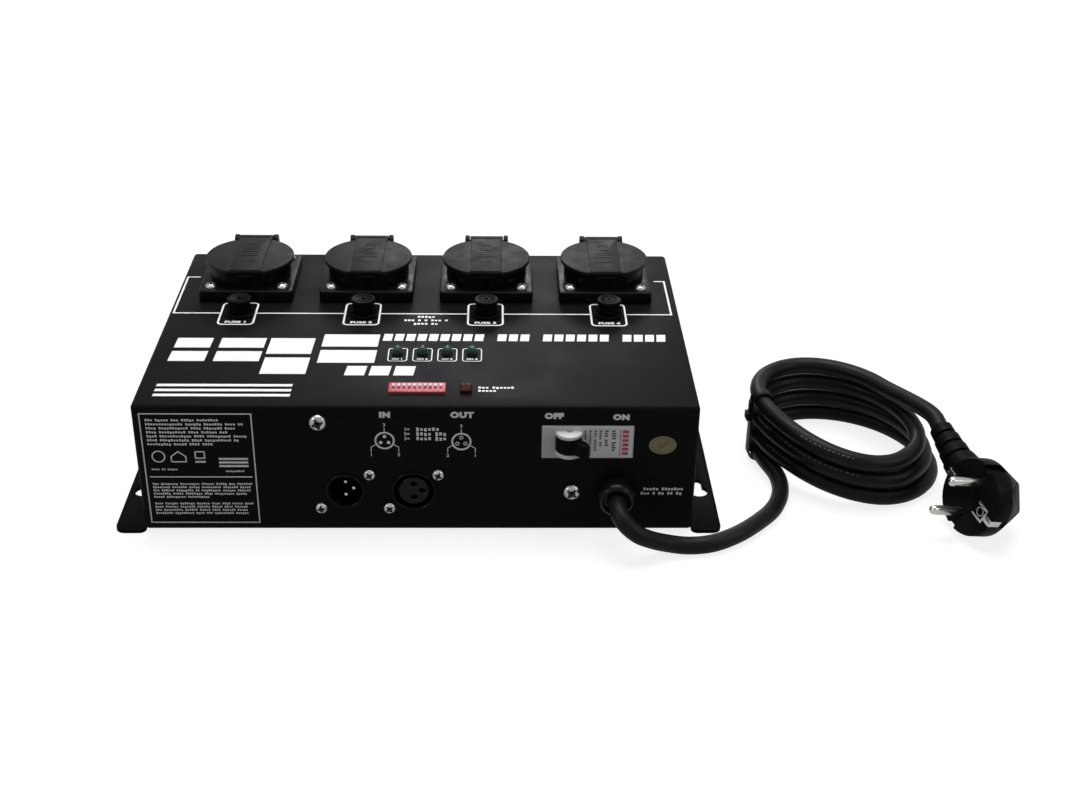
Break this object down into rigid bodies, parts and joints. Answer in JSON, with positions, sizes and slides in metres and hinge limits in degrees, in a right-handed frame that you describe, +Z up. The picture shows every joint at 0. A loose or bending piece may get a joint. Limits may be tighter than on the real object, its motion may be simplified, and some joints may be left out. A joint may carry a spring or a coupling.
{
  "type": "dmx switch pack",
  "caption": "Low sheet-metal switch pack for stage lights: lidded mains sockets and fuses on top, data plugs, breaker and coiled mains lead at the front, screw-down ears.",
  "frame": {"origin": "underside of the base plate, under the middle of the box", "axes": "+X to the right seen from the front, +Y to the rear, +Z up"},
  "size_m": [0.4492, 0.2077, 0.089],
  "materials": {
    "black_powder_coat": "fine satin powder coat",
    "black_plastic": "moulded, satin",
    "black_rubber": "soft matt sheath",
    "grey_plastic": "light grey moulding",
    "white_plastic": "white slider",
    "red_plastic": "dark red",
    "green_lens": "tinted lens, unlit",
    "board_green": "lacquered board",
    "fuse_glass": "clear tube with metal ends",
    "nickel": "nickel plated",
    "zinc": "zinc plated",
    "lamination": "stacked core, varnished"
  },
  "bodies": {
    "enclosure": {"cover": "black_powder_coat", "base_plate": "black_powder_coat", "transformer": "lamination", "circuit_board": "board_green", "dip_body": "red_plastic", "status_led": "red_plastic", "dmx_in_shell": "black_plastic", "dmx_out_shell": "black_plastic", "dmx_in_insert": "black_plastic", "dmx_out_insert": "black_plastic", "breaker_body": "grey_plastic", "breaker_rail": "zinc", "cable_gland": "black_plastic", "panel_screw_1": "zinc", "panel_screw_2": "zinc", "mains_lead": "black_rubber", "lead_coil": "black_rubber", "coil_tie": "black_plastic", "plug_body": "black_rubber", "plug_pin_1": "nickel", "plug_pin_2": "nickel", "socket_body_1": "black_plastic", "socket_earth_1": "zinc", "fuse_holder_1": "black_plastic", "channel_led_1": "green_lens", "socket_body_2": "black_plastic", "socket_earth_2": "zinc", "fuse_holder_2": "black_plastic", "channel_led_2": "green_lens", "socket_body_3": "black_plastic", "socket_earth_3": "zinc", "fuse_holder_3": "black_plastic", "channel_led_3": "green_lens", "socket_body_4": "black_plastic", "socket_earth_4": "zinc", "fuse_holder_4": "black_plastic", "channel_led_4": "green_lens"},
    "lid_1": {"socket_lid_1": "black_plastic"},
    "lid_2": {"socket_lid_2": "black_plastic"},
    "lid_3": {"socket_lid_3": "black_plastic"},
    "lid_4": {"socket_lid_4": "black_plastic"},
    "breaker_lever": {"breaker_toggle": "black_plastic"},
    "slider_1": {"dip_slider_1": "white_plastic"},
    "slider_2": {"dip_slider_2": "white_plastic"},
    "slider_3": {"dip_slider_3": "white_plastic"},
    "slider_4": {"dip_slider_4": "white_plastic"},
    "slider_5": {"dip_slider_5": "white_plastic"},
    "slider_6": {"dip_slider_6": "white_plastic"},
    "slider_7": {"dip_slider_7": "white_plastic"},
    "slider_8": {"dip_slider_8": "white_plastic"},
    "slider_9": {"dip_slider_9": "white_plastic"},
    "slider_10": {"dip_slider_10": "white_plastic"},
    "fuse_1": {"fuse_link_1": "fuse_glass"},
    "fuse_top_1": {"fuse_cap_1": "black_plastic"},
    "fuse_2": {"fuse_link_2": "fuse_glass"},
    "fuse_top_2": {"fuse_cap_2": "black_plastic"},
    "fuse_3": {"fuse_link_3": "fuse_glass"},
    "fuse_top_3": {"fuse_cap_3": "black_plastic"},
    "fuse_4": {"fuse_link_4": "fuse_glass"},
    "fuse_top_4": {"fuse_cap_4": "black_plastic"}
  },
  "joints": [
    {"name": "lid_1_hinge", "type": "hinge", "parent": "enclosure", "child": "lid_1", "pos_m": [-0.09645, 0.0767, 0.085], "axis": [-1, 0, 0], "range_deg": [0, 110], "stiffness_Nm_per_rad": 0.03, "springref_deg": -20.05},
    {"name": "lid_2_hinge", "type": "hinge", "parent": "enclosure", "child": "lid_2", "pos_m": [-0.03215, 0.0767, 0.085], "axis": [-1, 0, 0], "range_deg": [0, 110], "stiffness_Nm_per_rad": 0.03, "springref_deg": -20.05},
    {"name": "lid_3_hinge", "type": "hinge", "parent": "enclosure", "child": "lid_3", "pos_m": [0.03215, 0.0767, 0.085], "axis": [-1, 0, 0], "range_deg": [0, 110], "stiffness_Nm_per_rad": 0.03, "springref_deg": -20.05},
    {"name": "lid_4_hinge", "type": "hinge", "parent": "enclosure", "child": "lid_4", "pos_m": [0.09645, 0.0767, 0.085], "axis": [-1, 0, 0], "range_deg": [0, 110], "stiffness_Nm_per_rad": 0.03, "springref_deg": -20.05},
    {"name": "breaker_rock", "type": "hinge", "parent": "enclosure", "child": "breaker_lever", "pos_m": [0.0725, -0.0903, 0.0528], "axis": [0, 0, -1], "range_deg": [0, 80]},
    {"name": "slider_1_slide", "type": "slide", "parent": "enclosure", "child": "slider_1", "axis": [0, -1, 0], "range_m": [0, 0.0018]},
    {"name": "slider_2_slide", "type": "slide", "parent": "enclosure", "child": "slider_2", "axis": [0, -1, 0], "range_m": [0, 0.0018]},
    {"name": "slider_3_slide", "type": "slide", "parent": "enclosure", "child": "slider_3", "axis": [0, -1, 0], "range_m": [0, 0.0018]},
    {"name": "slider_4_slide", "type": "slide", "parent": "enclosure", "child": "slider_4", "axis": [0, -1, 0], "range_m": [0, 0.0018]},
    {"name": "slider_5_slide", "type": "slide", "parent": "enclosure", "child": "slider_5", "axis": [0, -1, 0], "range_m": [0, 0.0018]},
    {"name": "slider_6_slide", "type": "slide", "parent": "enclosure", "child": "slider_6", "axis": [0, -1, 0], "range_m": [0, 0.0018]},
    {"name": "slider_7_slide", "type": "slide", "parent": "enclosure", "child": "slider_7", "axis": [0, -1, 0], "range_m": [0, 0.0018]},
    {"name": "slider_8_slide", "type": "slide", "parent": "enclosure", "child": "slider_8", "axis": [0, -1, 0], "range_m": [0, 0.0018]},
    {"name": "slider_9_slide", "type": "slide", "parent": "enclosure", "child": "slider_9", "axis": [0, -1, 0], "range_m": [0, 0.0018]},
    {"name": "slider_10_slide", "type": "slide", "parent": "enclosure", "child": "slider_10", "axis": [0, -1, 0], "range_m": [0, 0.0018]},
    {"name": "fuse_1_pull", "type": "slide", "parent": "enclosure", "child": "fuse_1", "axis": [0, 0, 1], "range_m": [0, 0.03]},
    {"name": "fuse_1_turn", "type": "hinge", "parent": "fuse_1", "child": "fuse_top_1", "pos_m": [-0.0972, 0.01, 0.078], "axis": [0, 0, 1], "range_deg": [0, 90]},
    {"name": "fuse_2_pull", "type": "slide", "parent": "enclosure", "child": "fuse_2", "axis": [0, 0, 1], "range_m": [0, 0.03]},
    {"name": "fuse_2_turn", "type": "hinge", "parent": "fuse_2", "child": "fuse_top_2", "pos_m": [-0.0324, 0.01, 0.078], "axis": [0, 0, 1], "range_deg": [0, 90]},
    {"name": "fuse_3_pull", "type": "slide", "parent": "enclosure", "child": "fuse_3", "axis": [0, 0, 1], "range_m": [0, 0.03]},
    {"name": "fuse_3_turn", "type": "hinge", "parent": "fuse_3", "child": "fuse_top_3", "pos_m": [0.0324, 0.01, 0.078], "axis": [0, 0, 1], "range_deg": [0, 90]},
    {"name": "fuse_4_pull", "type": "slide", "parent": "enclosure", "child": "fuse_4", "axis": [0, 0, 1], "range_m": [0, 0.03]},
    {"name": "fuse_4_turn", "type": "hinge", "parent": "fuse_4", "child": "fuse_top_4", "pos_m": [0.0972, 0.01, 0.078], "axis": [0, 0, 1], "range_deg": [0, 90]}
  ]
}
